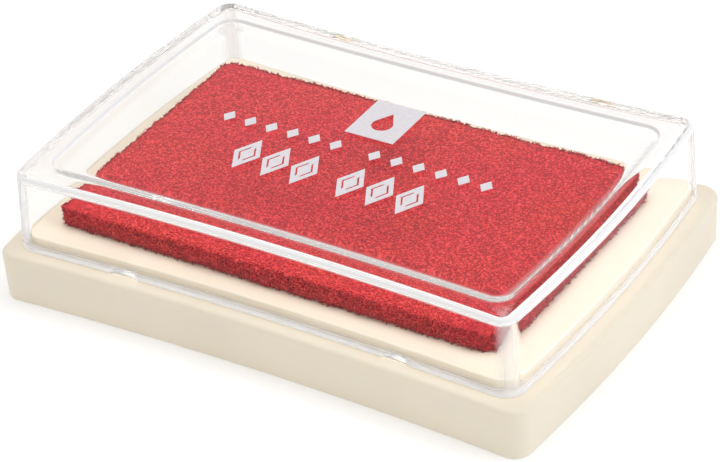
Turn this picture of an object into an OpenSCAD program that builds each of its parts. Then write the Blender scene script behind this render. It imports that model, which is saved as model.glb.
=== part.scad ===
// Craft ink pad: an ivory tray with a raised red pad under a clear lift-off lid.
// Millimetres. The origin is the centre of the underside, +X runs along the
// length, +Y to the back and +Z up. The tray's ends bow out and its long
// sides are drawn in at the waist; the lid and the platform follow that line.

/* [Case] */
// Overall length, measured across the middle of the bowed ends
case_l = 102; // [90:1:120]
// Overall width, measured at the corners
case_w = 70; // [60:1:80]
// How far each end bows out at its middle
end_bow = 1.9; // [0:0.1:3]
// How far each long side is drawn in at its middle
side_waist = 1.75; // [0:0.05:2.5]
// Corner radius of the tray, seen from above
corner_r = 3; // [2:0.25:5]

/* [Tray] */
// Height of the ledge that the lid stands on
tray_h = 9; // [7:0.5:14]
// Thickness of the tray's walls and top
tray_wall = 1.8; // [1.2:0.1:2.5]
// Width of the ledge outside the lid
ledge_w = 2.35; // [1.5:0.05:4]
// Height of the platform above the ledge
platform_rise = 2.65; // [1.5:0.05:4]
// Gap between the platform and the lid's wall
lid_gap = 0.4; // [0.3:0.05:0.8]
// Distance of each snap rib from the middle, along X
snap_x = 25.5; // [10:0.5:35]
// Length of a snap rib
snap_l = 3; // [2:0.5:8]

/* [Lid] */
// Height of the lid above the ledge
lid_h = 14.1; // [12:0.1:20]
// Wall thickness of the lid
lid_wall = 1.25; // [1:0.05:1.6]
// How far each wall leans in from the rim to the top
lid_draft = 0.7; // [0:0.05:1]
// Radius rolled along the lid's outer top edge
lid_edge_r = 1; // [0.5:0.1:1]
// Depth of the shallow recess in the lid's top
recess_depth = 0.6; // [0.5:0.05:1.2]
// Height of the arched notch in the rim at each snap rib
notch_h = 0.8; // [0.4:0.1:1.4]
// Width of the arched notch at the rim
notch_w = 5.2; // [4.6:0.1:9]
// Width of the flat border at each end of the recess
recess_end_border = 3.5; // [3:0.1:6]
// Width of the flat border along each side of the recess
recess_side_border = 4.95; // [3:0.05:7]

/* [Pad] */
// Length of the pad
pad_l = 81.2; // [60:0.2:86]
// Width of the pad
pad_w = 50.2; // [40:0.2:54]
// Corner radius of the pad, seen from above
pad_r = 1.9; // [1.5:0.1:4]
// Height of the pad above the platform
pad_h = 3.4; // [2.6:0.1:4.5]
// Thickness of the cover over the foam
cover_t = 1; // [0.6:0.1:1.4]
// Thickness of the adhesive sheet under the foam
adhesive_t = 0.2; // [0.1:0.05:0.4]
// How far the glued pad sits to the left of the middle
pad_left = 1.1; // [0:0.1:1.5]
// How far the glued pad sits in front of the middle
pad_front = 0.7; // [0:0.1:1.2]

/* [Printing] */
// Thickness of the printed film on the lid
print_t = 0.06; // [0.04:0.01:0.12]
// Width of the square emblem
emblem_w = 9.2; // [6:0.1:12]
// Depth of the square emblem
emblem_d = 10.9; // [6:0.1:12]
// Distance of the emblem's centre behind the middle
emblem_y = 9.7; // [8:0.1:14]
// Centre distance of the small lozenges
small_pitch = 4.15; // [3.5:0.05:4.4]
// Width of one small lozenge
small_w = 2.3; // [1.5:0.1:3]
// Centre distance of the large lozenges
large_pitch = 5.5; // [5:0.1:6.5]
// Width of one large lozenge
large_w = 4.9; // [3:0.1:4.9]
// Length of one large lozenge, front to back
large_d = 9.2; // [6:0.1:11]

/* [Hidden] */
MARKS_PER_GROUP = 6;
LARGE_PER_GROUP = 3;
small_names = [for (i = [1 : 2 * MARKS_PER_GROUP]) str("print_small_", i)];
large_names = [for (i = [1 : 2 * LARGE_PER_GROUP]) str("print_large_", i)];

$fn = 48;
STEPS_LONG = 14;      // straight steps along one long side
STEPS_SHORT = 10;     // straight steps along one end
STEPS_CORNER = 6;     // straight steps round one corner
STEPS_EDGE = 4;       // straight steps across a rolled edge
RECESS_LEAN = 0.1;    // how far the recess wall leans in
FOLLOW = 0.85;        // how much of the tray's bow the lid and platform keep

// half lengths and widths of the outlines, taken at the corners
tray_a = case_l / 2 - end_bow;
tray_b = case_w / 2;
rim_a = tray_a - ledge_w;
rim_b = tray_b - ledge_w;
platform_a = rim_a - lid_wall - lid_gap;
platform_b = rim_b - lid_wall - lid_gap;
bow = end_bow * FOLLOW;
waist = side_waist * FOLLOW;
rim_r = corner_r + 0.5;
recess_r = 3.2;
recess_bow = bow * 0.75;
recess_waist = waist * 0.6;

// heights
platform_z = tray_h + platform_rise;
lid_z = tray_h + lid_h;
recess_z = lid_z - recess_depth;
pad_z = platform_z + pad_h;
small_y = 0;
large_y = -8.6;
group_gap = 3.2;

// Moves point p of a plain rounded rectangle so that the ends bow out and the
// long sides are drawn in; the bend fades to nothing at the corners.
function bent(p, a, b, end, side) = [
    p[0] * (1 + end / a * (1 - pow(p[1] / b, 2))),
    p[1] * (1 - side / b * (1 - pow(p[0] / a, 2)))
];

// Plain rounded rectangle, anticlockwise from the right-hand end
function straight(a, b, r) = concat(
    [for (i = [0 : STEPS_SHORT - 1]) [a, (b - r) * (2 * i / STEPS_SHORT - 1)]],
    [for (i = [0 : STEPS_CORNER - 1]) let (t = 90 * i / STEPS_CORNER)
        [a - r + r * cos(t), b - r + r * sin(t)]],
    [for (i = [0 : STEPS_LONG - 1]) [(a - r) * (1 - 2 * i / STEPS_LONG), b]],
    [for (i = [0 : STEPS_CORNER - 1]) let (t = 90 + 90 * i / STEPS_CORNER)
        [r - a + r * cos(t), b - r + r * sin(t)]],
    [for (i = [0 : STEPS_SHORT - 1]) [-a, (b - r) * (1 - 2 * i / STEPS_SHORT)]],
    [for (i = [0 : STEPS_CORNER - 1]) let (t = 180 + 90 * i / STEPS_CORNER)
        [r - a + r * cos(t), r - b + r * sin(t)]],
    [for (i = [0 : STEPS_LONG - 1]) [(a - r) * (2 * i / STEPS_LONG - 1), -b]],
    [for (i = [0 : STEPS_CORNER - 1]) let (t = 270 + 90 * i / STEPS_CORNER)
        [a - r + r * cos(t), r - b + r * sin(t)]]
);

function outline(a, b, r, end, side) =
    [for (p = straight(a, b, r)) bent(p, a, b, end, side)];

// One level ring of the lid's skin: the outline at height z
function ring(a, b, r, end, side, z) =
    [for (p = outline(a, b, r, end, side)) [p[0], p[1], z]];

// Solid skinned over rings that each have the same number of points; the
// first and last rings are closed with flat caps.
module skin(rings) {
    n = len(rings[0]);
    last = len(rings) - 1;
    points = [for (level = rings) for (p = level) p];
    walls = [for (k = [0 : last - 1]) for (i = [0 : n - 1]) let (j = (i + 1) % n)
        each [
            [k * n + i, k * n + j, (k + 1) * n + j],
            [k * n + i, (k + 1) * n + j, (k + 1) * n + i]
        ]];
    caps = [
        [for (i = [n - 1 : -1 : 0]) i],
        [for (i = [0 : n - 1]) last * n + i]
    ];
    polyhedron(points = points, faces = concat(walls, caps), convexity = 6);
}

module slab(a, b, r, end, side, z0, z1) {
    translate([0, 0, z0])
        linear_extrude(z1 - z0)
            polygon(outline(a, b, r, end, side));
}

module snap_rib() {
    rib_r = 0.5;
    proud = 0.2;
    rib_z = tray_h + 0.6;
    // the platform's edge is a little further in where the waist has drawn it
    edge_y = platform_b - waist * (1 - pow(snap_x / platform_a, 2));
    translate([-snap_l / 2, edge_y - rib_r + proud, rib_z])
        rotate([0, 90, 0])
            cylinder(h = snap_l, r = rib_r);
}

module base_tray() {
    inner_r = corner_r - 1;
    color([0.93, 0.89, 0.79])
        union() {
            difference() {
                union() {
                    slab(tray_a, tray_b, corner_r, end_bow, side_waist, 0, tray_h);
                    slab(platform_a, platform_b, rim_r - 1, bow, waist,
                        tray_h - 0.5, platform_z);
                }
                slab(tray_a - tray_wall, tray_b - tray_wall, inner_r, end_bow, side_waist,
                    -1, tray_h - tray_wall);
                slab(platform_a - tray_wall, platform_b - tray_wall, inner_r, bow, waist,
                    -1, platform_z - tray_wall);
            }
            for (side = [-1, 1])
                for (end = [-1, 1])
                    translate([end * snap_x, 0, 0])
                        rotate([0, 0, side > 0 ? 0 : 180])
                            snap_rib();
        }
}

module pad_adhesive() {
    inset = cover_t + 0.6;
    color([0.95, 0.93, 0.86])
        translate([-pad_left, -pad_front, 0])
            slab(pad_l / 2 - inset, pad_w / 2 - inset, pad_r - 1, 0, 0,
                platform_z, platform_z + adhesive_t);
}

module foam_core() {
    color([0.72, 0.16, 0.2])
        translate([-pad_left, -pad_front, 0])
            slab(pad_l / 2 - cover_t, pad_w / 2 - cover_t, pad_r - 1, 0, 0,
                platform_z + adhesive_t, pad_z - cover_t);
}

module pad_cover() {
    color([0.8, 0.2, 0.23])
        translate([-pad_left, -pad_front, 0])
            difference() {
                slab(pad_l / 2, pad_w / 2, pad_r, 0, 0, platform_z, pad_z);
                slab(pad_l / 2 - cover_t, pad_w / 2 - cover_t, pad_r - 1, 0, 0,
                    platform_z - 1, pad_z - cover_t);
            }
}

// The lid's skin, from the middle of the recess out to the rim and back inside
module lid_shell() {
    in_r = rim_r - 1;
    top_a = rim_a - lid_draft;
    top_b = rim_b - lid_draft;
    rec_a = top_a - recess_end_border;
    rec_b = top_b - recess_side_border;
    ceiling_z = lid_z - lid_wall;
    // the underside starts its gentle slope outside the recess and ends it inside
    step_out = 1.1;
    slope_in = 2.4;
    roll = [for (i = [0 : STEPS_EDGE]) 90 * i / STEPS_EDGE];
    skin(concat(
        // recess floor and its wall
        [
            ring(rec_a - RECESS_LEAN, rec_b - RECESS_LEAN, recess_r,
                recess_bow, recess_waist, recess_z),
            ring(rec_a, rec_b, recess_r, recess_bow, recess_waist, lid_z)
        ],
        // rolled outer edge
        [for (i = [STEPS_EDGE : -1 : 0])
            ring(top_a - lid_edge_r * (1 - cos(roll[i])),
                top_b - lid_edge_r * (1 - cos(roll[i])),
                rim_r, bow, waist, lid_z - lid_edge_r * (1 - sin(roll[i])))],
        // rim, inner wall and ceiling
        [
            ring(rim_a, rim_b, rim_r, bow, waist, tray_h),
            ring(rim_a - lid_wall, rim_b - lid_wall, in_r, bow, waist, tray_h),
            ring(top_a - lid_wall, top_b - lid_wall, in_r, bow, waist, ceiling_z),
            ring(rec_a + step_out, rec_b + step_out, recess_r,
                recess_bow, recess_waist, ceiling_z),
            ring(rec_a - slope_in, rec_b - slope_in, recess_r,
                recess_bow, recess_waist, ceiling_z - recess_depth)
        ]
    ));
}

module clear_lid() {
    // radius of the arch whose chord is the notch's width at the rim
    notch_r = (pow(notch_w / 2, 2) + pow(notch_h, 2)) / (2 * notch_h);
    color([0.93, 0.95, 0.97, 0.35])
        difference() {
            lid_shell();
            for (side = [-1, 1])
                for (end = [-1, 1])
                    translate([end * snap_x, side * rim_b, tray_h + notch_h - notch_r])
                        rotate([90, 0, 0])
                            cylinder(h = 6, r = notch_r, center = true);
        }
}

// One printed mark, standing on the recess floor
module film() {
    color([0.96, 0.95, 0.96])
        translate([0, 0, recess_z])
            linear_extrude(print_t)
                children();
}

module lozenge(w, d) {
    polygon([[w / 2, 0], [0, d / 2], [-w / 2, 0], [0, -d / 2]]);
}

// Square with an ink drop left open in its middle
module print_emblem() {
    drop_r = emblem_w * 0.2;
    film()
        translate([0, emblem_y])
            difference() {
                square([emblem_w, emblem_d], center = true);
                translate([0, -drop_r * 0.6]) {
                    circle(r = drop_r);
                    // the tip's sides touch the circle at 30 degrees above its middle
                    polygon([
                        [drop_r * cos(30), drop_r * sin(30)],
                        [0, drop_r * 2],
                        [-drop_r * cos(30), drop_r * sin(30)]
                    ]);
                }
            }
}

// Centre of mark i in a row of two equal groups
function mark_x(i, per_group, pitch) =
    (i - (2 * per_group - 1) / 2) * pitch + (i < per_group ? -1 : 1) * group_gap / 2;

module print_small(i) {
    film()
        translate([mark_x(i, MARKS_PER_GROUP, small_pitch), small_y])
            lozenge(small_w, small_w * 1.4);
}

// Large lozenge with a thin line left open inside it, broken at both tips
module print_large(i) {
    line_outer = 0.64;
    line_inner = 0.5;
    bridge_w = 0.7;
    film()
        translate([mark_x(i, LARGE_PER_GROUP, large_pitch), large_y])
            difference() {
                lozenge(large_w, large_d);
                difference() {
                    lozenge(large_w * line_outer, large_d * line_outer);
                    lozenge(large_w * line_inner, large_d * line_inner);
                    square([bridge_w, large_d], center = true);
                }
            }
}

base_tray();
pad_adhesive();
foam_core();
pad_cover();
clear_lid();
print_emblem();
for (i = [0 : len(small_names) - 1])
    print_small(i);
for (i = [0 : len(large_names) - 1])
    print_large(i);
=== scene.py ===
"""Looks of a craft ink pad: ivory tray, red felted pad and clear printed lid.

Laid out as an add-on and run as a script. Lengths are in metres, in the frame
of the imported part: +X along the pad, +Y to the back, +Z up.
"""

import itertools
import math

import bpy
import numpy as np
from bpy.props import FloatProperty, FloatVectorProperty, IntProperty, PointerProperty
from mathutils import Matrix, Vector


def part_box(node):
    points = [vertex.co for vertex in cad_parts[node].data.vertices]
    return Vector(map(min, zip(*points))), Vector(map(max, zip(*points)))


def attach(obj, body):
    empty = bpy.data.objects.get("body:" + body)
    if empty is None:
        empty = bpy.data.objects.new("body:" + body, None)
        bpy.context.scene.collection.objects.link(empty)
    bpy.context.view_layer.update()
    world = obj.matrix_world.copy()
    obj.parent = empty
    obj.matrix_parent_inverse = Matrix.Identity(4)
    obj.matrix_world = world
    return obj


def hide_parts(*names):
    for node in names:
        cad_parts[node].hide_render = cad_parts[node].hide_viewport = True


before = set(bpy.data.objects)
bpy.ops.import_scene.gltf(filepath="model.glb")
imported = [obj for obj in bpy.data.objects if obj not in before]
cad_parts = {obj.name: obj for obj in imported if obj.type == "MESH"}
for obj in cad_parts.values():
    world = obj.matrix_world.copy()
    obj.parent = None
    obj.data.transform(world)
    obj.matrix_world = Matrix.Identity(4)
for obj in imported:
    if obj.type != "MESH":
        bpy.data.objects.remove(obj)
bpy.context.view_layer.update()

bl_info = {
    "name": "Craft ink pad",
    "version": (1, 0, 0),
    "blender": (4, 5, 0),
    "location": "View3D > Sidebar > Ink pad",
    "description": "Builds the tray, the felted pad, the clear lid and its print",
    "category": "Object",
}

MM = 0.001
HAIR = 0.02 * MM  # spacing of the extra rings that keep a flat face flat beside a rounded edge

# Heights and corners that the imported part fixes
TRAY_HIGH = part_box("base_tray")[1]
LID_LOW, LID_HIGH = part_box("clear_lid")
PAD_LOW, PAD_HIGH = (np.array(corner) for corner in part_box("pad_cover"))
PAD_MIDDLE = (PAD_LOW[:2] + PAD_HIGH[:2]) / 2
LEDGE_Z = LID_LOW[2]
PLATFORM_Z = TRAY_HIGH[2]
RECESS_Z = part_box("print_emblem")[0][2]


# ---------------------------------------------------------------- settings


def length(name, text, default):
    """A length property in metres."""
    return FloatProperty(
        name=name, description=text, default=default, min=0.0, subtype="DISTANCE", unit="LENGTH"
    )


def angle(name, text, degrees):
    """An angle property, given in degrees."""
    return FloatProperty(
        name=name, description=text, default=math.radians(degrees), subtype="ANGLE", unit="ROTATION"
    )


def fraction(name, text, default):
    """A property from 0 to 1."""
    return FloatProperty(
        name=name, description=text, default=default, min=0.0, max=1.0, subtype="FACTOR"
    )


def colour(name, text, default):
    """A linear colour property."""
    return FloatVectorProperty(
        name=name, description=text, default=default, size=3, min=0.0, max=1.0, subtype="COLOR"
    )


class CaseSettings(bpy.types.PropertyGroup):
    """The bowed outline that the tray, platform and lid share."""

    end_bow: length("End bow", "How far each end bows out at its middle", 1.9 * MM)
    side_waist: length("Side waist", "How far each long side is drawn in", 1.75 * MM)
    corner_r: length("Corner radius", "Radius of the tray's corners from above", 3.0 * MM)
    follow: fraction("Follow", "Share of the bow that the lid keeps", 0.85)
    ledge_w: length("Ledge width", "Ledge that shows outside the lid", 2.35 * MM)
    tray_wall: length("Tray wall", "Thickness of the tray's walls", 1.8 * MM)
    tray_draft: length("Tray draft", "How far the tray's foot is drawn in", 0.2 * MM)
    top_round: length("Top rounding", "Radius along the tray's outer top edge", 1.0 * MM)
    lid_gap: length("Lid gap", "Gap between the platform and the lid", 0.4 * MM)
    snap_x: length("Snap position", "Distance of a snap rib from the middle", 25.5 * MM)
    snap_l: length("Snap length", "Length of a snap rib", 3.0 * MM)


class LidSettings(bpy.types.PropertyGroup):
    """The clear lid's section."""

    wall: length("Wall", "Thickness of the lid's walls and top", 1.25 * MM)
    draft: length("Draft", "How far each wall leans in towards the top", 0.7 * MM)
    edge_r: length("Edge radius", "Radius along the outer top edge", 0.65 * MM)
    slope_out: length("Slope start", "Where the underside's slope starts, outside the recess", 1.1 * MM)
    slope_in: length("Slope end", "Where the underside's slope ends, inside the recess", 2.4 * MM)
    recess_lean: length("Recess lean", "How far the recess wall leans in", 0.1 * MM)
    recess_r: length("Recess corner", "Corner radius of the recess", 3.2 * MM)
    end_border: length("End border", "Flat border at each end of the recess", 3.5 * MM)
    side_border: length("Side border", "Flat border along the recess", 4.95 * MM)
    notch_h: length("Notch height", "Height of the arched notches in the rim", 0.8 * MM)
    notch_w: length("Notch width", "Width of the arched notches in the rim", 5.2 * MM)
    lift: length("Air gap", "Hair's breadth of air under the rim", 0.03 * MM)
    rim_r: length("Rim radius", "Rounding of the rim's foot", 0.3 * MM)
    # Painted highlight: the share of white painted on the lid's rounded edges, rim, recess wall and wall
    # corners, in place of the bright reflections they catch.
    glow: fraction("Edge glow", "Share of light that the rounded edges scatter", 1.0)


class PadSettings(bpy.types.PropertyGroup):
    """The felted cover and its frayed edge."""

    corner_r: length("Corner radius", "Corner radius of the pad from above", 1.9 * MM)
    edge_r: length("Edge radius", "Rounding of the pad's top edge", 0.3 * MM)
    swell: length("Swell", "Most that the cover may swell as it settles", 0.2 * MM)
    pile: length("Pile", "Height of the felt's lumps on the flat", 0.05 * MM)
    edge_pile: length("Edge pile", "Height of the felt's lumps along the edges", 0.3 * MM)
    fibres: IntProperty(name="Fibres", description="Loose tufts", default=8500)
    fibre_l: length("Fibre length", "Longest loose tuft", 0.8 * MM)
    fibre_r: length("Fibre radius", "Radius of a tuft at its root", 0.1 * MM)
    weave: length("Weave", "Spacing of the points that settle as cloth", 0.55 * MM)
    seed: IntProperty(name="Seed", description="Start of the random rows", default=11)


class FinishSettings(bpy.types.PropertyGroup):
    """Colours of the materials."""

    ivory: colour("Ivory", "Moulded tray", (0.865, 0.775, 0.635))
    red: colour("Red", "Inked felt in the light", (0.69, 0.014, 0.026))
    # Dark red is painted shade: the felt's pores and the pad's lower sides are mixed towards it.
    red_dark: colour("Dark red", "Inked felt in its pores", (0.34, 0.003, 0.010))
    red_warm: colour("Warm red", "Broad warm patches in the ink", (0.71, 0.032, 0.016))
    # Pale red is a painted highlight: glints painted onto the felt's tips.
    red_glint: colour("Pale red", "Glints on the felt's tips", (0.82, 0.12, 0.12))
    print_white: colour("Print", "Printed film", (0.86, 0.82, 0.85))
    foam: colour("Foam", "Foam under the cover", (0.45, 0.02, 0.03))
    adhesive: colour("Adhesive", "Film under the foam", (0.85, 0.8, 0.68))


class StageSettings(bpy.types.PropertyGroup):
    """Where the camera stands and what it aims at."""

    azimuth: angle("Azimuth", "Round from the front", 33.586)
    elevation: angle("Elevation", "Above level", 33.866)
    roll: angle("Roll", "Lean of the camera", -4.116)
    distance: length("Distance", "Camera to the case", 0.49383)
    aside: length("Aside", "How far the camera is moved to its left", 0.00053)
    raised: length("Raised", "How far the camera is moved up, so that the case sits lower", 0.00557)
    lens: FloatProperty(
        name="Lens", description="Focal length", default=148.28, min=1.0, unit="CAMERA"
    )


# ---------------------------------------------------------------- mesh maths


def outline_template(notch_at):
    """Rows (ux, uy, cx, cy) round a rounded rectangle, anticlockwise from its right end.

    A point is (half - r) * (ux, uy) + r * (cx, cy): u runs along the straight
    sides and c round the corner arcs. The long sides get extra points round
    notch_at, the share of the side where the lid's notches are.
    """
    close = notch_at + np.linspace(-0.085, 0.085, 25)
    long_side = np.unique(np.concatenate([np.linspace(-1, 1, 49), close, -close]))[::-1]
    short_side = np.linspace(-1, 1, 37)
    turn = np.radians(np.linspace(0, 90, 15))[1:-1]
    one, none = np.ones_like(short_side), np.zeros_like(short_side)
    end = np.column_stack([one, short_side, one, none])
    corner = np.column_stack([np.ones_like(turn), np.ones_like(turn), np.cos(turn), np.sin(turn)])
    one, none = np.ones_like(long_side), np.zeros_like(long_side)
    back = np.column_stack([long_side, one, none, one])
    corner_2 = corner[::-1] * [-1, 1, -1, 1]
    half = np.vstack([end, corner, back, corner_2])
    return np.vstack([half, -half])


def carry(profile, shape, template):
    """Carries a profile round the bowed outline; one ring for each profile point.

    profile is rows (inset, height). shape is (a, b, r, bow, waist): the half
    length and width at the corners, the corner radius, and how far the ends
    bow out and the sides are drawn in. A point (x, y) of the plain rounded
    rectangle moves to x (1 + bow/a (1 - (y/b)^2)), y (1 - waist/b (1 - (x/a)^2)).
    """
    inset, height = np.asarray(profile, float).T[:, :, None]
    a, b, r, bow, waist = shape
    a, b = a - inset, b - inset
    r = np.clip(r - inset, 0.5 * MM, None)
    ux, uy, cx, cy = template.T[:, None, :]
    x = (a - r) * ux + r * cx
    y = (b - r) * uy + r * cy
    bent_x = x * (1 + bow / a * (1 - (y / b) ** 2))
    bent_y = y * (1 - waist / b * (1 - (x / a) ** 2))
    return np.stack([bent_x, bent_y, np.broadcast_to(height, x.shape)], axis=-1)


def arc(inset, height, radius, start, stop, steps=6):
    """Profile points along an arc: 0 degrees points outward, 90 up and 180 inward."""
    t = np.radians(np.linspace(start, stop, steps + 1))
    return np.column_stack([inset - radius * np.cos(t), height + radius * np.sin(t)])


def new_mesh(name, points, faces):
    """A smooth-shaded object from points and faces, in the scene's collection."""
    mesh = bpy.data.meshes.new(name)
    mesh.from_pydata(np.asarray(points).tolist(), [], faces)
    mesh.polygons.foreach_set("use_smooth", np.ones(len(mesh.polygons), bool))
    mesh.update()
    piece = bpy.data.objects.new(name, mesh)
    bpy.context.scene.collection.objects.link(piece)
    return piece


def skin_faces(rows, n):
    """Faces of a closed skin over rings of n points: quads between neighbours, a cap at each end.

    The first ring is the top's cap and each ring runs anticlockwise from
    above, so a quad runs ring k to k + 1 and then along.
    """
    i = np.arange(n)
    j = (i + 1) % n
    low = (np.arange(rows - 1) * n)[:, None]
    quads = np.stack([low + i, low + n + i, low + n + j, low + j], axis=-1).reshape(-1, 4)
    caps = [i.tolist(), ((rows - 1) * n + i[::-1]).tolist()]
    return quads.tolist() + caps


def skinned(name, rings):
    """One closed object over a stack of rings."""
    rows, n, _ = rings.shape
    return new_mesh(name, rings.reshape(-1, 3), skin_faces(rows, n))


def soft_noise(points, cell, seed):
    """Smooth random values from -1 to 1 at points, one lattice step per cell.

    The eight lattice values round a point are blended with the ease curve
    3 t^2 - 2 t^3 along each axis; the lattice repeats every 64 steps.
    """
    table = np.random.default_rng(seed).uniform(-1, 1, (64, 64, 64))
    grid = np.asarray(points) / cell
    base = np.floor(grid).astype(int)
    t = grid - base
    t = t * t * (3 - 2 * t)
    total = np.zeros(len(grid))
    for corner in itertools.product((0, 1), repeat=3):
        weight = np.prod(np.where(corner, t, 1 - t), axis=1)
        i, j, k = ((base + corner) % 64).T
        total += weight * table[i, j, k]
    return total


def mesh_points(mesh):
    """The mesh's points as rows."""
    points = np.empty(len(mesh.vertices) * 3, np.float32)
    mesh.vertices.foreach_get("co", points)
    return points.reshape(-1, 3).astype(float)


def mesh_normals(mesh):
    """The mesh's vertex normals as rows."""
    normals = np.empty(len(mesh.vertices) * 3, np.float32)
    mesh.vertex_normals.foreach_get("vector", normals)
    return normals.reshape(-1, 3).astype(float)


def set_points(mesh, points):
    """Moves the mesh's points."""
    mesh.vertices.foreach_set("co", np.asarray(points, np.float32).ravel())
    mesh.update()


# ---------------------------------------------------------------- materials


def new_material(name):
    """A node material with its Principled shader and the object's own coordinates."""
    made = bpy.data.materials.new(name)
    made.use_nodes = True
    tree = made.node_tree
    shader = tree.nodes["Principled BSDF"]
    place = tree.nodes.new("ShaderNodeTexCoord").outputs["Object"]
    return made, tree, shader, place


def noise(tree, place, per_metre, detail=3.0, rough=0.5):
    """A noise pattern with that many lumps to the metre."""
    made = tree.nodes.new("ShaderNodeTexNoise")
    made.inputs["Scale"].default_value = per_metre
    made.inputs["Detail"].default_value = detail
    made.inputs["Roughness"].default_value = rough
    tree.links.new(place, made.inputs["Vector"])
    return made.outputs["Fac"]


def spread(tree, value, low, high, to_low, to_high):
    """Maps value from low..high to to_low..to_high."""
    made = tree.nodes.new("ShaderNodeMapRange")
    made.inputs["From Min"].default_value = low
    made.inputs["From Max"].default_value = high
    made.inputs["To Min"].default_value = to_low
    made.inputs["To Max"].default_value = to_high
    tree.links.new(value, made.inputs["Value"])
    return made.outputs["Result"]


def mix(tree, share, first, second):
    """Mixes two colours, each a socket or a colour, by a share from 0 to 1."""
    made = tree.nodes.new("ShaderNodeMix")
    made.data_type = "RGBA"
    tree.links.new(share, made.inputs["Factor"])
    for socket, value in ((made.inputs[6], first), (made.inputs[7], second)):
        if isinstance(value, bpy.types.NodeSocket):
            tree.links.new(value, socket)
        else:
            socket.default_value = (*value, 1.0)
    return made.outputs[2]


def bump(tree, shader, height, strength, distance):
    """Bumps the shader's normal by height."""
    made = tree.nodes.new("ShaderNodeBump")
    made.inputs["Strength"].default_value = strength
    made.inputs["Distance"].default_value = distance
    tree.links.new(height, made.inputs["Height"])
    tree.links.new(made.outputs["Normal"], shader.inputs["Normal"])


def moulded_ivory(finish):
    """Satin moulded plastic that lets a little light in, with faint flow marks."""
    made, tree, shader, place = new_material("moulded_ivory")
    base = tuple(finish.ivory)
    paler = tuple(min(1.0, c * 1.05) for c in base)
    flow = spread(tree, noise(tree, place, 35.0, 2.0), 0.35, 0.65, 0.0, 1.0)
    tree.links.new(mix(tree, flow, base, paler), shader.inputs["Base Color"])
    grain = noise(tree, place, 2600.0, 4.0, 0.6)
    tree.links.new(spread(tree, grain, 0.3, 0.7, 0.36, 0.5), shader.inputs["Roughness"])
    shader.inputs["Subsurface Weight"].default_value = 0.35
    shader.inputs["Subsurface Radius"].default_value = (1.0, 0.75, 0.45)
    shader.inputs["Subsurface Scale"].default_value = 0.0025
    shader.inputs["IOR"].default_value = 1.49
    bump(tree, shader, grain, 0.12, 0.00003)
    return made


def polished_clear():
    """Polished clear plastic with a painted highlight: its rounded edges are painted white in place of
    their bright reflections; lamps shine straight through it.
    """
    made, tree, shader, place = new_material("polished_clear")
    shader.inputs["IOR"].default_value = 1.5
    shader.inputs["Specular Tint"].default_value = (0.05, 0.05, 0.05, 1.0)
    haze = noise(tree, place, 420.0, 5.0, 0.6)
    tree.links.new(spread(tree, haze, 0.45, 0.75, 0.0, 0.008), shader.inputs["Roughness"])
    # Painted highlight: along the painted edges the plastic turns from clear to diffuse off-white,
    # standing in for the bright reflections those edges catch.
    edge = tree.nodes.new("ShaderNodeAttribute")
    edge.attribute_name = "painted_edge_highlight"
    tint = mix(tree, edge.outputs["Fac"], (1.0, 0.995, 0.985), (0.97, 0.955, 0.945))
    tree.links.new(tint, shader.inputs["Base Color"])
    through = spread(tree, edge.outputs["Fac"], 0.0, 1.0, 1.0, 0.0)
    tree.links.new(through, shader.inputs["Transmission Weight"])
    clear = tree.nodes.new("ShaderNodeBsdfTransparent")
    rays = tree.nodes.new("ShaderNodeLightPath")
    either = tree.nodes.new("ShaderNodeMixShader")
    tree.links.new(rays.outputs["Is Shadow Ray"], either.inputs["Fac"])
    tree.links.new(shader.outputs["BSDF"], either.inputs[1])
    tree.links.new(clear.outputs["BSDF"], either.inputs[2])
    tree.links.new(either.outputs["Shader"], tree.nodes["Material Output"].inputs["Surface"])
    return made


def inked_felt(finish):
    """Red felt soaked with ink, with broad warm patches; painted shade as fine dark pores and a darker
    foot, and painted highlight as pale glints.
    """
    made, tree, shader, place = new_material("inked_felt")
    red, warm, dark = (tuple(c) for c in (finish.red, finish.red_warm, finish.red_dark))
    patches = noise(tree, place, 60.0, 3.0, 0.55)
    inked = mix(tree, spread(tree, patches, 0.42, 0.66, 0.0, 0.8), red, warm)
    # Painted shade: fine dark specks in the felt's pores.
    pores = noise(tree, place, 3000.0, 1.5, 0.6)
    inked = mix(tree, spread(tree, pores, 0.43, 0.54, 1.0, 0.0), inked, dark)
    split = tree.nodes.new("ShaderNodeSeparateXYZ")
    tree.links.new(place, split.inputs["Vector"])
    # Painted shade: the pad's sides darken towards the foot, up to half way to dark red.
    foot = spread(tree, split.outputs["Z"], PAD_LOW[2] + 0.6 * MM, PAD_LOW[2] + 2.2 * MM, 0.5, 0.0)
    inked = mix(tree, foot, inked, dark)
    # Painted highlight: pale glints on the felt's tips.
    tips = spread(tree, noise(tree, place, 3000.0, 1.5), 0.55, 0.68, 0.0, 0.6)
    tree.links.new(mix(tree, tips, inked, tuple(finish.red_glint)), shader.inputs["Base Color"])
    shader.inputs["Roughness"].default_value = 0.7
    shader.inputs["Specular IOR Level"].default_value = 0.3
    shader.inputs["Sheen Weight"].default_value = 0.06
    shader.inputs["Sheen Roughness"].default_value = 0.5
    shader.inputs["Sheen Tint"].default_value = (1.0, 0.5, 0.5, 1.0)
    bump(tree, shader, noise(tree, place, 2800.0, 1.5, 0.5), 1.0, 0.0003)
    return made


def printed_film(finish):
    """White printed film, a little uneven where the ink is thinner."""
    made, tree, shader, place = new_material("printed_film")
    thin = spread(tree, noise(tree, place, 1800.0, 3.0), 0.4, 0.7, 0.0, 1.0)
    base = tuple(finish.print_white)
    dull = tuple(c * 0.93 for c in base)
    tree.links.new(mix(tree, thin, base, dull), shader.inputs["Base Color"])
    shader.inputs["Roughness"].default_value = 0.45
    return made


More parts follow.
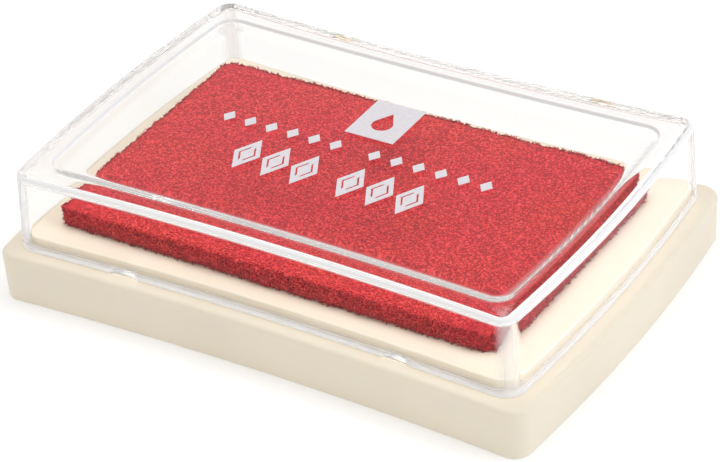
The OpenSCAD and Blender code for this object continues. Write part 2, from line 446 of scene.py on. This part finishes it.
def open_foam(finish):
    """Ink-soaked open foam, seen only if the cover is taken away."""
    made, tree, shader, place = new_material("open_foam")
    cells = noise(tree, place, 1400.0, 3.0)
    base = tuple(finish.foam)
    pale = tuple(min(1.0, c * 1.6) for c in base)
    tree.links.new(mix(tree, cells, base, pale), shader.inputs["Base Color"])
    shader.inputs["Roughness"].default_value = 0.9
    bump(tree, shader, cells, 0.6, 0.0002)
    return made


def adhesive_film(finish):
    """Pale double-sided film."""
    made, tree, shader, place = new_material("adhesive_film")
    streaks = noise(tree, place, 300.0, 2.0)
    base = tuple(finish.adhesive)
    dull = tuple(c * 0.9 for c in base)
    tree.links.new(mix(tree, streaks, base, dull), shader.inputs["Base Color"])
    shader.inputs["Roughness"].default_value = 0.6
    return made


def white_floor():
    """Plain white studio floor."""
    made, tree, shader, place = new_material("white_floor")
    tone = spread(tree, noise(tree, place, 3.0, 1.0), 0.3, 0.7, 0.0, 1.0)
    tree.links.new(mix(tree, tone, (0.93, 0.93, 0.93), (0.95, 0.95, 0.95)), shader.inputs["Base Color"])
    shader.inputs["Roughness"].default_value = 0.9
    shader.inputs["Emission Color"].default_value = (1.0, 1.0, 1.0, 1.0)
    shader.inputs["Emission Strength"].default_value = 0.18
    return made


def material(name, make, *settings):
    """The named material, made the first time it is asked for."""
    return bpy.data.materials.get(name) or make(*settings)


# ---------------------------------------------------------------- shapes


def case_shapes(case, lid):
    """Outlines (a, b, r, bow, waist) of the tray, platform, lid wall and recess."""
    short_of_corner = 0.15 * MM  # the waist keeps the lid's box this far inside its half width
    tray_a = TRAY_HIGH[0] - case.end_bow
    tray_b = LID_HIGH[1] + case.ledge_w + short_of_corner
    bow = case.end_bow * case.follow
    waist = case.side_waist * case.follow
    rim_a = tray_a - case.ledge_w
    rim_b = tray_b - case.ledge_w
    rim_r = case.corner_r + 0.5 * MM
    inside = lid.wall + case.lid_gap
    border_a = lid.draft + lid.end_border
    border_b = lid.draft + lid.side_border
    return {
        "tray": (tray_a, tray_b, case.corner_r, case.end_bow, case.side_waist),
        "platform": (rim_a - inside, rim_b - inside, rim_r - 1 * MM, bow, waist),
        "lid": (rim_a, rim_b, rim_r, bow, waist),
        "recess": (rim_a - border_a, rim_b - border_b, lid.recess_r, bow * 0.75, waist * 0.6),
    }


def notch_share(case, lid):
    """Where the notches sit along the lid's straight long side, from 0 to 1."""
    a, _, r, _, _ = case_shapes(case, lid)["lid"]
    return case.snap_x / (a - r)


def tray_rings(case, lid):
    """The tray's section from the platform's middle over the ledge and round to its hollow underside."""
    shapes = case_shapes(case, lid)
    template = outline_template(notch_share(case, lid))
    wall = case.tray_wall
    lip = 0.3 * MM
    foot = 0.3 * MM
    edge = case.top_round
    platform = np.vstack([
        [[lip + 1 * MM, PLATFORM_Z], [lip + HAIR, PLATFORM_Z]],
        arc(lip, PLATFORM_Z - lip, lip, 90, 0),
        [[0.0, LEDGE_Z + foot + HAIR]],
        arc(-foot, LEDGE_Z + foot, foot, 180, 270),
        [[-foot - HAIR, LEDGE_Z]],
    ])
    draft = case.tray_draft
    outside = np.vstack([
        [[edge + HAIR, LEDGE_Z]],
        arc(edge, LEDGE_Z - edge, edge, 90, 0, 8),
        arc(draft + foot, foot, foot, 0, -90),
        [[wall - HAIR, 0.0], [wall, HAIR]],
        arc(wall + foot, LEDGE_Z - wall - foot, foot, 0, 90),
    ])
    under = np.vstack([
        [[wall - foot, LEDGE_Z - wall], [wall, LEDGE_Z - wall + foot]],
        arc(wall + foot, PLATFORM_Z - wall - foot, foot, 0, 90),
        [[wall + foot + 1 * MM, PLATFORM_Z - wall]],
    ])
    return np.vstack([
        carry(platform, shapes["platform"], template),
        carry(outside, shapes["tray"], template),
        carry(under, shapes["platform"], template),
    ])


def bar(centre, half, radius, steps=10):
    """Points, quads and end caps of a bar along X: a circle carried along, eased shut at both ends.

    The radius at t from -1 to 1 along the bar is radius * (1 - |t|^6)^(1/2).
    """
    t = np.linspace(-1, 1, 17)[1:-1]
    size = radius * (1 - np.abs(t) ** 6) ** 0.5
    turn = np.linspace(0, 2 * math.pi, steps, endpoint=False)
    x = np.broadcast_to((centre[0] + half * t)[:, None], (len(t), steps))
    y = centre[1] + size[:, None] * np.cos(turn)
    z = centre[2] + size[:, None] * np.sin(turn)
    points = np.stack([x, y, z], axis=-1).reshape(-1, 3)
    i = np.arange(steps)
    j = (i + 1) % steps
    low = (np.arange(len(t) - 1) * steps)[:, None]
    quads = np.stack([low + i, low + j, low + steps + j, low + steps + i], axis=-1)
    caps = np.stack([i[::-1], (len(t) - 1) * steps + i])
    return points, quads.reshape(-1, 4), caps


def make_tray(case, lid):
    """The tray with its four snap ribs, as one mesh of closed skins."""
    rings = tray_rings(case, lid)
    rows, n, _ = rings.shape
    points = [rings.reshape(-1, 3)]
    faces = skin_faces(rows, n)
    a, b, _, _, waist = case_shapes(case, lid)["platform"]
    edge_y = b - waist * (1 - (case.snap_x / a) ** 2)
    rib_r = 0.5 * MM
    proud = 0.2 * MM
    rib_z = LEDGE_Z + 0.6 * MM
    for side, end in itertools.product((-1, 1), repeat=2):
        centre = (end * case.snap_x, side * (edge_y - rib_r + proud), rib_z)
        rib_points, quads, caps = bar(centre, case.snap_l / 2, rib_r)
        start = sum(len(p) for p in points)
        points.append(rib_points)
        faces += (start + quads).tolist() + (start + caps).tolist()
    return new_mesh("tray", np.vstack(points), faces)


def with_painted_highlight(points, glow):
    """Profile points with a third column: how much painted highlight the plastic there gets, from 0 to
    1.
    """
    points = np.atleast_2d(points)
    return np.column_stack([points, np.full(len(points), glow)])


def cut_notches(rings, glow, case, lid):
    """Lifts the rim's points over each snap rib and stops the rim's painted highlight there.

    The lift is the height of a circle's arch over its chord, the notch's width.
    """
    half = lid.notch_w / 2
    arch_r = (half ** 2 + lid.notch_h ** 2) / (2 * lid.notch_h)
    off = np.abs(np.abs(rings[..., 0]) - case.snap_x)
    arch = np.sqrt(np.clip(arch_r ** 2 - off ** 2, 0, None)) - (arch_r - lid.notch_h)
    long_side = np.abs(rings[..., 1]) > 0.6 * LID_HIGH[1]
    rim_top = LEDGE_Z + lid.lift + 1.5 * lid.rim_r
    at_rim = (rings[..., 2] < rim_top) & long_side
    glow *= np.where(at_rim, 1 - np.clip(arch / (0.35 * lid.notch_h), 0, 1), 1.0)
    rings[..., 2] += np.where(at_rim, np.clip(arch, 0, None), 0)


def lid_rings(case, lid):
    """The lid's section and its painted highlight: recess, border, rolled edge, wall, rim, and back
    inside.

    The underside follows the recess by the ease curve 3 t^2 - 2 t^3. The corners of the walls get a
    little painted highlight too.
    """
    shapes = case_shapes(case, lid)
    template = outline_template(notch_share(case, lid))
    top = LID_HIGH[2]
    foot = LEDGE_Z + lid.lift
    lean = lid.recess_lean
    wall = lid.wall
    draft = lid.draft
    edge = lid.edge_r
    rim = lid.rim_r
    floor = RECESS_Z - 0.01 * MM
    round_r = 0.12 * MM
    calm = foot + 1.8 * MM      # the notches bend nothing above this ring
    straight = foot + 2.4 * MM
    recess = np.vstack([
        with_painted_highlight([[lean + 1.5 * MM, floor], [lean + round_r + 2 * HAIR, floor]], 0.0),
        # Painted highlight on the recess wall and its rounded lips.
        with_painted_highlight(arc(lean + round_r, floor + round_r, round_r, 270, 360, 3), 1.0),
        with_painted_highlight([[0.5 * lean, 0.5 * (floor + top)]], 1.0),
        with_painted_highlight(arc(-round_r, top - round_r, round_r, 180, 90, 3), 1.0),
        with_painted_highlight([[-round_r - 2 * HAIR, top], [-0.5 * MM, top]], 0.0),
    ])
    # Painted highlight along the rolled top edge and the inner corner, strongest mid-arc.
    arc_glow = np.array([0.4, 0.8, 1, 1, 1, 1, 1, 0.8, 0.4])
    rolled = arc(draft + edge, top - edge, edge, 90, 4, 8)
    outside = np.vstack([
        with_painted_highlight([[draft + edge + 4 * HAIR, top]], 0.0),
        np.column_stack([rolled, arc_glow]),
        with_painted_highlight([[draft * 0.93, top - 1.25 * edge], [draft * 0.17, straight]], 0.0),
        with_painted_highlight([[draft * 0.13, calm]], 0.0),
        # Painted highlight along the rim's rounded foot.
        with_painted_highlight([[draft * 0.04, foot + 1.6 * rim]], 0.8),
        with_painted_highlight(arc(rim, foot + rim, rim, 0, -90, 4), 1.0),
        with_painted_highlight(arc(wall - rim, foot + rim, rim, -90, -180, 4), 1.0),
        with_painted_highlight([[wall + draft * 0.04, foot + 1.6 * rim]], 0.8),
        with_painted_highlight([[wall + draft * 0.13, calm]], 0.0),
        with_painted_highlight([[wall + draft * 0.17, straight]], 0.0),
    ])
    ceiling = top - wall
    inner = 0.5 * MM
    corner = arc(draft + wall + inner, ceiling - inner, inner, 3, 90, 8)
    inside = np.vstack([
        with_painted_highlight([[wall + draft * 0.9, ceiling - 1.3 * inner]], 0.0),
        np.column_stack([corner, arc_glow]),
        with_painted_highlight([[draft + wall + inner + 4 * HAIR, ceiling]], 0.0),
    ])
    ease = np.linspace(0, 1, 9)[:, None]
    start, end = [-lid.slope_out, ceiling], [lid.slope_in, floor - wall]
    slope = np.array(start) + (np.array(end) - start) * np.hstack([ease, ease * ease * (3 - 2 * ease)])
    bulge = np.vstack([with_painted_highlight(slope, 0.0), with_painted_highlight([[lid.slope_in + MM, floor - wall]], 0.0)])
    parts = ((recess, "recess"), (outside, "lid"), (inside, "lid"), (bulge, "recess"))
    rings = np.vstack([carry(profile[:, :2], shapes[name], template) for profile, name in parts])
    glow = np.vstack([profile[:, 2:] * np.ones(len(template)) for profile, _ in parts])
    cut_notches(rings, glow, case, lid)
    # Painted highlight on the walls' rounded corners, seen from above.
    turning = 2 * np.abs(template[:, 2] * template[:, 3])
    in_wall = (rings[..., 2] < top - edge) & (np.arange(len(rings)) >= len(recess))[:, None]
    in_wall &= (np.arange(len(rings)) < len(rings) - len(bulge))[:, None]
    return rings, np.maximum(glow, np.where(in_wall, 0.3 * turning, 0.0))


def pad_rings(pad):
    """A rounded slab, a little under the pad's size, that the cover starts from."""
    template = outline_template(0.5)
    shrink = pad.swell * 0.5
    half = (PAD_HIGH - PAD_LOW) / 2 - shrink
    shape = (half[0], half[1], pad.corner_r, 0.0, 0.0)
    top = PAD_HIGH[2] - shrink
    edge = pad.edge_r
    bottom = PAD_LOW[2]
    profile = np.vstack([
        [[edge + 2 * MM, top]],
        arc(edge, top - edge, edge, 90, 0, 6),
        [[0.0, bottom + 0.2 * MM], [0.2 * MM, bottom], [2 * MM, bottom]],
    ])
    return carry(profile, shape, template) + [*PAD_MIDDLE, 0.0]


def applied(piece):
    """Puts the piece's modifiers into its mesh."""
    graph = bpy.context.evaluated_depsgraph_get()
    made = bpy.data.meshes.new_from_object(piece.evaluated_get(graph))
    piece.modifiers.clear()
    piece.data = made
    return piece


def settle_as_cloth(piece, pad):
    """Lets the cover swell over its foam as cloth with its foot glued down, then applies it.

    Twenty frames of Cloth with pressure and no gravity; each point then moves
    by the share that keeps it within pad.swell, and none sinks into the
    platform.
    """
    foot = PAD_LOW[2]
    before = mesh_points(piece.data)
    glued = piece.vertex_groups.new(name="glued")
    low = np.flatnonzero(before[:, 2] < foot + 0.5 * MM)
    glued.add(low.tolist(), 1.0, "REPLACE")
    cloth = piece.modifiers.new("settle", "CLOTH")
    cloth.settings.quality = 6
    cloth.settings.mass = 0.1
    cloth.settings.tension_stiffness = 12
    cloth.settings.compression_stiffness = 12
    cloth.settings.bending_stiffness = 0.4
    cloth.settings.use_pressure = True
    cloth.settings.uniform_pressure_force = 4
    cloth.settings.vertex_group_mass = "glued"
    cloth.settings.effector_weights.gravity = 0
    cloth.collision_settings.use_collision = False
    scene = bpy.context.scene
    for step in range(1, 21):
        scene.frame_set(step)
    graph = bpy.context.evaluated_depsgraph_get()
    after = mesh_points(piece.evaluated_get(graph).data)
    scene.frame_set(1)
    piece.modifiers.clear()
    piece.vertex_groups.clear()
    moved = after - before
    reach = np.linalg.norm(moved, axis=1, keepdims=True)
    moved *= np.minimum(1, pad.swell / np.maximum(reach, 1e-9))
    settled = before + moved
    settled[:, 2] = np.maximum(settled[:, 2], foot)
    set_points(piece.data, settled)


def edge_distance(points):
    """How far each point lies inside the pad's outline, seen from above."""
    inside = np.minimum(points - PAD_LOW, PAD_HIGH - points)
    return np.minimum(inside[:, 0], inside[:, 1])


def make_cover(pad):
    """The felted cover: a slab settled as cloth, subdivided, and roughened by lumps of felt.

    The lumps are three octaves of smooth noise along the normals, deeper on
    the sides and along the top edge than on the flat.
    """
    piece = skinned("felt_cover", pad_rings(pad))
    remesh = piece.modifiers.new("even", "REMESH")
    remesh.mode = "VOXEL"
    remesh.voxel_size = pad.weave
    remesh.use_smooth_shade = True
    applied(piece)
    settle_as_cloth(piece, pad)
    finer = piece.modifiers.new("finer", "SUBSURF")
    finer.levels = finer.render_levels = 1
    applied(piece)
    mesh = piece.data
    points = mesh_points(mesh)
    normals = mesh_normals(mesh)
    edge = edge_distance(points)
    side = np.clip(1 - edge / (0.9 * MM), 0, 1)
    lumps = (
        0.7 * soft_noise(points, 0.8 * MM, pad.seed)
        + 1.0 * soft_noise(points, 0.4 * MM, pad.seed + 1)
        + 0.3 * soft_noise(points, 3.5 * MM, pad.seed + 2)
    )
    depth = pad.pile + (pad.edge_pile - pad.pile) * side
    points += normals * (depth * lumps)[:, None]
    points[:, 2] = np.clip(points[:, 2], PAD_LOW[2], None)
    set_points(mesh, points)
    mesh.polygons.foreach_set("use_smooth", np.ones(len(mesh.polygons), bool))
    return piece


def make_fibres(cover, pad):
    """Loose fibres on the cover, most of them along its top edge.

    A fibre is a three-sided tapered tube along root + L (d t + c t^2), where d
    leans from the cover's normal to a random side and c curls it over.
    """
    rng = np.random.default_rng(pad.seed + 7)
    fringe = 0.7 * MM  # width of the strip along the edge that frays
    points = mesh_points(cover.data)
    normals = mesh_normals(cover.data)
    edge = edge_distance(points)
    height = (points[:, 2] - PAD_LOW[2]) / (PAD_HIGH[2] - PAD_LOW[2])
    weight = np.where(edge < fringe, 1.0, 0.004) * (0.25 + np.clip(height - 0.5, 0, 1))
    pick = rng.choice(len(points), pad.fibres, p=weight / weight.sum())
    root, normal = points[pick], normals[pick]
    near_edge = edge[pick] < fringe
    wander = rng.normal(size=root.shape)
    wander -= normal * np.sum(wander * normal, axis=1, keepdims=True)
    wander /= np.linalg.norm(wander, axis=1, keepdims=True)
    lean = rng.uniform(0.5, 1.6, (len(root), 1))
    d = normal + lean * wander
    d /= np.linalg.norm(d, axis=1, keepdims=True)
    curl = np.cross(normal, wander) * rng.uniform(-0.7, 0.7, (len(root), 1)) - 0.25 * normal
    long = pad.fibre_l * rng.uniform(0.3, 1.0, (len(root), 1)) * np.where(near_edge, 1, 0.45)[:, None]
    u = np.cross(d, [0.31, 0.53, 0.79])
    u /= np.linalg.norm(u, axis=1, keepdims=True)
    v = np.cross(d, u)
    t = np.array([0.0, 0.4, 0.75, 1.0])
    radius = pad.fibre_r * np.array([1.0, 0.85, 0.6, 0.2])
    turn = np.radians([0, 120, 240])
    spine = root[:, None] + long[:, None] * (d[:, None] * t[:, None] + curl[:, None] * t[:, None] ** 2)
    around = u[:, None] * np.cos(turn)[:, None] + v[:, None] * np.sin(turn)[:, None]
    grid = spine[:, :, None] + around[:, None] * radius[:, None, None]
    grid[..., 2] = np.clip(grid[..., 2], PAD_LOW[2], None)
    i = np.arange(3)
    j = (i + 1) % 3
    low = (np.arange(3) * 3)[:, None]
    quads = np.stack([low + i, low + j, low + 3 + j, low + 3 + i], axis=-1).reshape(-1, 4)
    starts = (np.arange(len(root)) * 12)[:, None, None]
    faces = (starts + quads).reshape(-1, 4).tolist()
    faces += (starts[:, 0] + [2, 1, 0]).tolist() + (starts[:, 0] + [9, 10, 11]).tolist()
    return new_mesh("felt_fibres", grid.reshape(-1, 3), faces)


# ---------------------------------------------------------------- operators


def fail_unless(done, text):
    """Raises if a step didn't do its work."""
    if not done:
        raise RuntimeError(text)


class INKPAD_OT_tray(bpy.types.Operator):
    """Build the ivory tray"""

    bl_idname = "inkpad.tray"
    bl_label = "Tray"

    def execute(self, context):
        scene = context.scene
        piece = make_tray(scene.inkpad_case, scene.inkpad_lid)
        piece.data.materials.append(material("moulded_ivory", moulded_ivory, scene.inkpad_finish))
        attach(piece, "tray")
        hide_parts("base_tray")
        fail_unless(len(piece.data.polygons) > 1000, "the tray came out empty")
        return {"FINISHED"}


class INKPAD_OT_lid(bpy.types.Operator):
    """Build the clear lid"""

    bl_idname = "inkpad.lid"
    bl_label = "Clear lid"

    def execute(self, context):
        scene = context.scene
        rings, glow = lid_rings(scene.inkpad_case, scene.inkpad_lid)
        piece = skinned("lid", rings)
        # Writes the painted highlight onto the lid's points: white painted in place of the edges' bright
        # reflections.
        painted = piece.data.attributes.new("painted_edge_highlight", "FLOAT", "POINT")
        painted.data.foreach_set("value", (scene.inkpad_lid.glow * glow).ravel().astype(np.float32))
        piece.data.materials.append(material("polished_clear", polished_clear))
        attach(piece, "lid")
        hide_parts("clear_lid")
        fail_unless(len(piece.data.polygons) > 1000, "the lid came out empty")
        return {"FINISHED"}


class INKPAD_OT_pad(bpy.types.Operator):
    """Build the felted cover and its loose fibres"""

    bl_idname = "inkpad.pad"
    bl_label = "Felted pad"

    def execute(self, context):
        scene = context.scene
        felt = material("inked_felt", inked_felt, scene.inkpad_finish)
        cover = make_cover(scene.inkpad_pad)
        fibres = make_fibres(cover, scene.inkpad_pad)
        for piece in (cover, fibres):
            piece.data.materials.append(felt)
            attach(piece, "tray")
        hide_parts("pad_cover")
        fail_unless(len(cover.data.polygons) > 1000, "the cover came out empty")
        return {"FINISHED"}


class INKPAD_OT_layers(bpy.types.Operator):
    """Finish the layers hidden under the cover"""

    bl_idname = "inkpad.layers"
    bl_label = "Hidden layers"

    def execute(self, context):
        finish = context.scene.inkpad_finish
        for node, name, make in (
            ("foam_core", "open_foam", open_foam),
            ("pad_adhesive", "adhesive_film", adhesive_film),
        ):
            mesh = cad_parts[node].data
            mesh.materials.clear()
            mesh.materials.append(material(name, make, finish))
        return {"FINISHED"}


class INKPAD_OT_print(bpy.types.Operator):
    """Finish the marks printed on the lid"""

    bl_idname = "inkpad.print"
    bl_label = "Print"

    def execute(self, context):
        film = material("printed_film", printed_film, context.scene.inkpad_finish)
        marks = [node for name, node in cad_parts.items() if name.startswith("print_")]
        fail_unless(marks, "the part has no printed marks")
        for node in marks:
            node.data.materials.clear()
            node.data.materials.append(film)
            node.visible_shadow = False
        return {"FINISHED"}


def area_light(name, place, aim, size, power, tint=(1.0, 1.0, 1.0)):
    """A soft rectangular light at place, turned towards aim."""
    data = bpy.data.lights.new(name, "AREA")
    data.shape = "RECTANGLE"
    data.size, data.size_y = size
    data.energy = power
    data.color = tint
    light = bpy.data.objects.new(name, data)
    bpy.context.scene.collection.objects.link(light)
    way = Vector(aim) - Vector(place)
    turn = way.to_track_quat("-Z", "Y").to_matrix().to_4x4()
    turn.translation = place
    light.matrix_world = turn


def aim_camera(stage):
    """The camera on a sphere round the case, leaning by its roll and aimed a little off centre."""
    a, e, roll = stage.azimuth, stage.elevation, stage.roll
    back = np.array([math.sin(a) * math.cos(e), -math.cos(a) * math.cos(e), math.sin(e)])
    level = np.cross([0, 0, 1], back)
    level /= np.linalg.norm(level)
    up = np.cross(back, level)
    right = math.cos(roll) * level + math.sin(roll) * up
    top = math.cos(roll) * up - math.sin(roll) * level
    place = stage.distance * back - stage.aside * right + stage.raised * top
    data = bpy.data.cameras.new("camera")
    data.lens = stage.lens
    data.sensor_width = 36.0
    data.clip_start = 0.01
    data.clip_end = 20.0
    camera = bpy.data.objects.new("camera", data)
    bpy.context.scene.collection.objects.link(camera)
    turn = Matrix([(*row, 0.0) for row in np.column_stack([right, top, back]).tolist()] + [(0, 0, 0, 1)])
    turn.translation = place
    camera.matrix_world = turn
    bpy.context.scene.camera = camera


class INKPAD_OT_stage(bpy.types.Operator):
    """Set the floor, the soft lights and the camera"""

    bl_idname = "inkpad.stage"
    bl_label = "Stage"

    def execute(self, context):
        scene = context.scene
        reach = 3.0
        corners = [(-reach, -reach, 0), (reach, -reach, 0), (reach, reach, 0), (-reach, reach, 0)]
        floor = new_mesh("floor", corners, [[0, 1, 2, 3]])
        floor.data.materials.append(material("white_floor", white_floor))
        world = bpy.data.worlds.new("white_room")
        scene.world = world
        world.use_nodes = True
        sky = world.node_tree.nodes["Background"]
        sky.inputs["Color"].default_value = (1.0, 1.0, 1.0, 1.0)
        sky.inputs["Strength"].default_value = 0.52
        centre = (0, 0, 0)
        area_light("key", (0.9, 0.25, 0.6), centre, (0.6, 0.6), 2.8, (0.94, 0.98, 1.08))
        area_light("top", (-0.1, 0.0, 1.0), centre, (1.0, 1.0), 3.8)
        area_light("fill", (-0.45, -0.95, 0.4), centre, (0.8, 0.6), 0.2, (1.0, 0.94, 0.85))
        aim_camera(scene.inkpad_stage)
        scene.view_settings.view_transform = "Standard"
        scene.cycles.blur_glossy = 0.0
        scene.cycles.max_bounces = 64
        scene.cycles.glossy_bounces = 64
        scene.cycles.transmission_bounces = 64
        return {"FINISHED"}


class INKPAD_PT_panel(bpy.types.Panel):
    """Lists the ink pad's pieces"""

    bl_idname = "INKPAD_PT_panel"
    bl_label = "Ink pad"
    bl_space_type = "VIEW_3D"
    bl_region_type = "UI"
    bl_category = "Ink pad"

    def draw(self, context):
        for step in STEPS:
            self.layout.operator(step.bl_idname)


STEPS = (
    INKPAD_OT_tray,
    INKPAD_OT_layers,
    INKPAD_OT_pad,
    INKPAD_OT_lid,
    INKPAD_OT_print,
    INKPAD_OT_stage,
)
SETTINGS = {
    "inkpad_case": CaseSettings,
    "inkpad_lid": LidSettings,
    "inkpad_pad": PadSettings,
    "inkpad_finish": FinishSettings,
    "inkpad_stage": StageSettings,
}


def register():
    for name, group in SETTINGS.items():
        bpy.utils.register_class(group)
        setattr(bpy.types.Scene, name, PointerProperty(type=group))
    for step in (*STEPS, INKPAD_PT_panel):
        bpy.utils.register_class(step)


def unregister():
    for step in (INKPAD_PT_panel, *reversed(STEPS)):
        bpy.utils.unregister_class(step)
    for name, group in SETTINGS.items():
        delattr(bpy.types.Scene, name)
        bpy.utils.unregister_class(group)


def main():
    """Runs every step in order."""
    register()
    bpy.ops.inkpad.tray()
    bpy.ops.inkpad.layers()
    bpy.ops.inkpad.pad()
    bpy.ops.inkpad.lid()
    bpy.ops.inkpad.print()
    bpy.ops.inkpad.stage()


if __name__ == "__main__":
    main()
